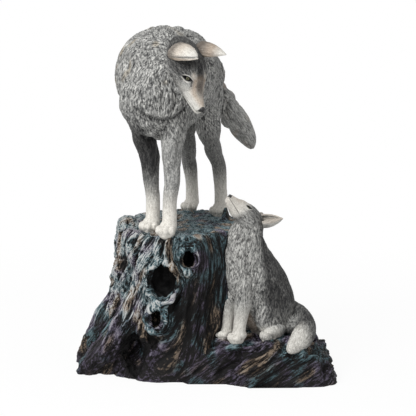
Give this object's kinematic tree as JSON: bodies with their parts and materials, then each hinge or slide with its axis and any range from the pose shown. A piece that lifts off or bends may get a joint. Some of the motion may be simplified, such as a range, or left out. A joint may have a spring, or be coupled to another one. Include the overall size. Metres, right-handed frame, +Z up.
{
  "type": "wolf figurine",
  "caption": "Cast figurine of a standing wolf on a tree stump that bends its head to a sitting cub on a low ledge.",
  "frame": {"origin": "middle of the figurine's bounding box, on its flat underside", "axes": "+Z up; -Y is the front, where the knotholes and the cub show; +X towards the cub's ledge"},
  "size_m": [0.2058, 0.1574, 0.2715],
  "materials": {
    "painted_resin": "painted, dry-brushed, matt"
  },
  "bodies": {
    "root": {"wolf_figurine": "painted_resin"}
  },
  "joints": []
}
